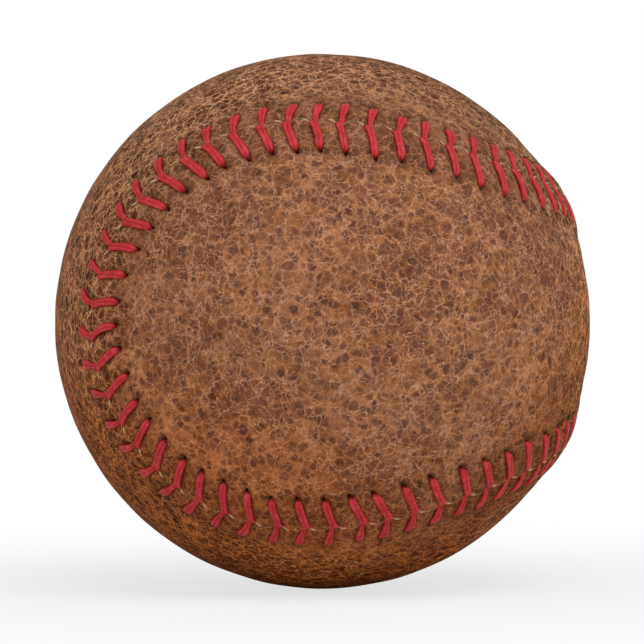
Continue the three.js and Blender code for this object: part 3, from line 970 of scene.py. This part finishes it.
    relief = steps(from_plate, 0.0, 0.3)
    relief = leather.math("MULTIPLY_ADD", steps(from_small, 0.0, 0.3), 0.5, relief)
    relief = leather.math("MULTIPLY_ADD", grain, 0.8, relief)
    leather.bump(relief, 0.05 * mm, 0.8)
    roughness = steps(veins, 0.0, 1.0, 0.66, 0.78)
    leather.set(Base_Color=colour, Roughness=roughness, Specular_IOR_Level=0.04)
    return leather.material


brown_leather = grained_leather()
for which, side in (("front", 1), ("back", -1)):
    panel = leather_panel(side)
    placed(panel, "leather_" + which, "cover_panel_" + which, "leather", brown_leather)


# The lacing: one red waxed cotton thread of two plies, sewn with a needle at each end. Each half
# comes up through a hole, crosses to the seam, dives between the edges and runs under the other
# panel to its next hole, where it comes up again.
leg_fineness = 2
drawn_in = {1: 0.26 * mm, -1: 0.40 * mm}  # of the tightest stitches, into the leather
tight_place = {1: limb_start + 5 * mm, -1: limb_start}
tight_width = 5 * mm
ply_sides = 5  # of each half of a ply, over and under
thread_sides = 4 * ply_sides
groove_level = 0.76  # of the plies' height, at the groove between them
closed_level = 0.9  # the same where the thread is squeezed in a hole or in the seam

# At each place on a leg: how far from the seam, where a hole lies at 4.5, the thread's middle over
# the leather's face in the stitch's valley, its width and its thickness, in millimetres.
front_leg = [
    (4.36, -1.10, 0.72, 0.55),
    (4.44, -0.38, 0.66, 0.60),
    (4.42, 0.06, 0.92, 0.70),
    (4.20, 0.30, 1.12, 0.74),
    (3.62, 0.32, 1.18, 0.68),
    (2.40, 0.27, 1.10, 0.64),
    (1.15, 0.28, 1.16, 0.64),
    (0.58, 0.26, 1.24, 0.62),
    (0.18, 0.12, 1.16, 0.60),
    (-0.08, -0.30, 1.02, 0.56),
    (-0.30, -0.95, 0.85, 0.50),
    (-1.30, -1.55, 0.80, 0.50),
]
back_leg = [
    (4.62, -1.10, 0.62, 0.52),
    (4.74, -0.34, 0.56, 0.58),
    (4.68, 0.08, 0.80, 0.70),
    (4.42, 0.30, 1.14, 0.78),
    (3.80, 0.34, 1.36, 0.74),
    (2.40, 0.27, 1.10, 0.64),
    (1.15, 0.23, 0.82, 0.62),
    (0.58, 0.13, 0.84, 0.62),
    (0.18, -0.04, 0.86, 0.60),
    (-0.10, -0.34, 0.90, 0.56),
    (-0.32, -0.95, 0.85, 0.50),
    (-1.30, -1.55, 0.80, 0.50),
]


def smooth_route(stations):
    """More places between the given ones, on a smooth curve through them."""
    stations = np.array(stations, float)
    padded = np.vstack([2 * stations[0] - stations[1], stations, 2 * stations[-1] - stations[-2]])
    made = []
    for i in range(1, len(padded) - 2):
        before, start, end, after = padded[i - 1 : i + 3]
        square_part = 2 * before - 5 * start + 4 * end - after
        cubic_part = 3 * start - before - 3 * end + after
        for t in np.arange(leg_fineness) / leg_fineness:
            made.append(start + ((end - before) * t + square_part * t**2 + cubic_part * t**3) / 2)
    made.append(stations[-1])
    return np.array(made)


def thread_section(width, thickness, groove_at, level):
    """Outline of two plies side by side: x along the width, y along the thickness."""
    angle = math.pi * np.arange(ply_sides) / ply_sides
    past_top = angle > math.pi / 2
    swell = np.sin(angle) ** 0.9
    to_groove = np.where(past_top, level + (1 - level) * swell, swell)
    from_groove = np.where(past_top, swell, level + (1 - level) * swell)
    left_width, right_width = (1 + groove_at) / 2, (1 - groove_at) / 2
    left, right = left_width * np.cos(angle), right_width * np.cos(angle)
    x = [left_width + right, left - right_width, -right_width - left, left_width - right]
    y = [to_groove, from_groove, -to_groove, -from_groove]
    return np.concatenate(x) * width / 2, np.concatenate(y) * thickness / 2


def sew_strand(first_side, chance):
    """The rings of one needle's half of the thread, each with its middle, place along the seam,
    groove's level, width, thickness, groove's place and slant."""
    rings = []
    for turn in range(stitch_count):
        number = -turn
        side = -first_side if turn % 2 else first_side
        hole = by_stitch(leg_hole[side], number)
        stations = smooth_route(front_leg if side > 0 else back_leg)
        across = stations[:, 0] * hole / drawn_hole
        on_leg = np.clip(across / hole, 0, 1)
        along = leg_along(number, side, np.clip(across, 0, None))
        bow = np.sin(math.pi * on_leg)
        along = along + (0.06 * side + chance.normal(0, 0.10)) * mm * bow
        lift = stations[:, 1] * mm + chance.normal(0, 0.025) * mm * bow
        lift -= drawn_in[side] * hill(abs(near_start[number]) - tight_place[side], tight_width)
        height = crown(side, np.clip(across, 0.3 * mm, None), 0, 1 * mm, across - hole) + lift
        width = stations[:, 2] * mm * chance.uniform(0.90, 1.08)
        thickness = stations[:, 3] * mm
        groove = chance.uniform(-0.15, 0.15) - side * chance.uniform(0.35, 0.8) * (on_leg - 0.5)
        middle = on_cover(along, side * across, height)
        slant = smooth_step(-across, -2.2 * mm, -0.2 * mm)
        squeezed = np.maximum(smooth_step(on_leg, 0.80, 0.92), smooth_step(-across, -0.7 * mm, 0.0))
        level = groove_level + (closed_level - groove_level) * squeezed
        rings.extend(zip(middle, along, level, width, thickness, groove, slant))
    return rings


def lace():
    chance = np.random.default_rng(108)
    rings = sew_strand(1, chance)[::-1] + sew_strand(-1, chance)
    middles = np.array([ring[0] for ring in rings])
    heading = unit(np.gradient(middles, axis=0))
    along = np.array([ring[1] for ring in rings])
    ahead = unit(np.cross(unit(middles), read_along(seam_to_front, along)))
    points = []
    for i, (middle, _, level, width, thickness, groove, slant) in enumerate(rings):
        square = unit(ahead[i] - heading[i] * (ahead[i] @ heading[i]))
        wide = square * (1 - slant) + ahead[i] * slant
        thick = np.cross(heading[i], square)
        x, y = thread_section(width, thickness, groove, level)
        points.append(middle + x[:, None] * wide + y[:, None] * thick)
    corners = np.arange(len(rings) * thread_sides).reshape(-1, thread_sides)
    faces = faces_round(corners).reshape(-1, 4).tolist()
    faces += [corners[0, ::-1].tolist(), corners[-1].tolist()]
    lacing = new_piece(np.concatenate(points), faces)
    mesh = lacing.data
    run = np.concatenate([[0], np.cumsum(np.linalg.norm(np.diff(middles, axis=0), axis=1))])
    corner_of = np.zeros(len(mesh.loops), int)
    mesh.loops.foreach_get("vertex_index", corner_of)
    ring_of, side_of = corner_of // thread_sides, corner_of % thread_sides
    on_last_side = np.arange(len(corner_of)) // 4 % thread_sides == thread_sides - 1
    round_share = side_of / thread_sides + (on_last_side & (side_of == 0))
    uv = np.stack([round_share, run[ring_of] / mm], axis=1)
    mesh.uv_layers.new(name="thread").data.foreach_set("uv", uv.astype(np.float32).ravel())
    return lacing


def waxed_thread():
    """Two waxed plies, with painted shade in the groove between them and at their sides where they meet
    the leather, and painted highlight along each ply and in mottled patches.
    """
    thread = Finish("waxed_red_thread")
    round_it, along_it, _ = thread.parts(thread.node("UVMap", uv_map="thread").outputs["UV"])
    over_ply = thread.math("FRACT", thread.math("MULTIPLY", round_it, 4.0))
    crest = thread.math("SINE", thread.math("MULTIPLY", over_ply, math.pi))
    drawn_out = thread.math("MULTIPLY", along_it, 1.3)
    twisted = thread.math("MULTIPLY_ADD", round_it, 9.0, drawn_out)
    fibre_run = thread.node("CombineXYZ", {"X": thread.math("MULTIPLY", round_it, 22.0), "Y": twisted})
    fibres = thread.noise(fibre_run.outputs["Vector"], 1.0, 3.0, 0.65)
    patches = thread.noise(thread.millimetres(), 1.1, 3.0, 0.6)
    colour = thread.layers(
        # Painted shade in the groove and at the thread's sides, and painted highlight along the top of
        # each ply.
        thread.mix(thread.steps(crest, 0.0, 0.7), linear(150, 16, 24), linear(186, 28, 36)),
        (thread.steps(crest, 0.7, 1.0, 0.0, 0.2), (220, 80, 84)),
        # Painted highlight in pale fibre streaks and lighter patches; the dark fibres and darker patches
        # vary the thread's red.
        (thread.steps(fibres, 0.46, 0.72, 0.0, 0.55), (224, 84, 86)),
        (thread.steps(fibres, 0.25, 0.45, 0.5, 0.0), (112, 8, 16)),
        (thread.steps(patches, 0.52, 0.68, 0.0, 0.5), (218, 84, 90)),
        (thread.steps(patches, 0.32, 0.46, 0.45, 0.0), (150, 14, 26)),
    )
    thread.bump(fibres, 0.06 * mm, 0.6)
    thread.set(Base_Color=colour, Roughness=0.5, Specular_IOR_Level=0.25)
    return thread.material


placed(lace(), "red_lacing", "lacing_thread", "red_thread", waxed_thread())
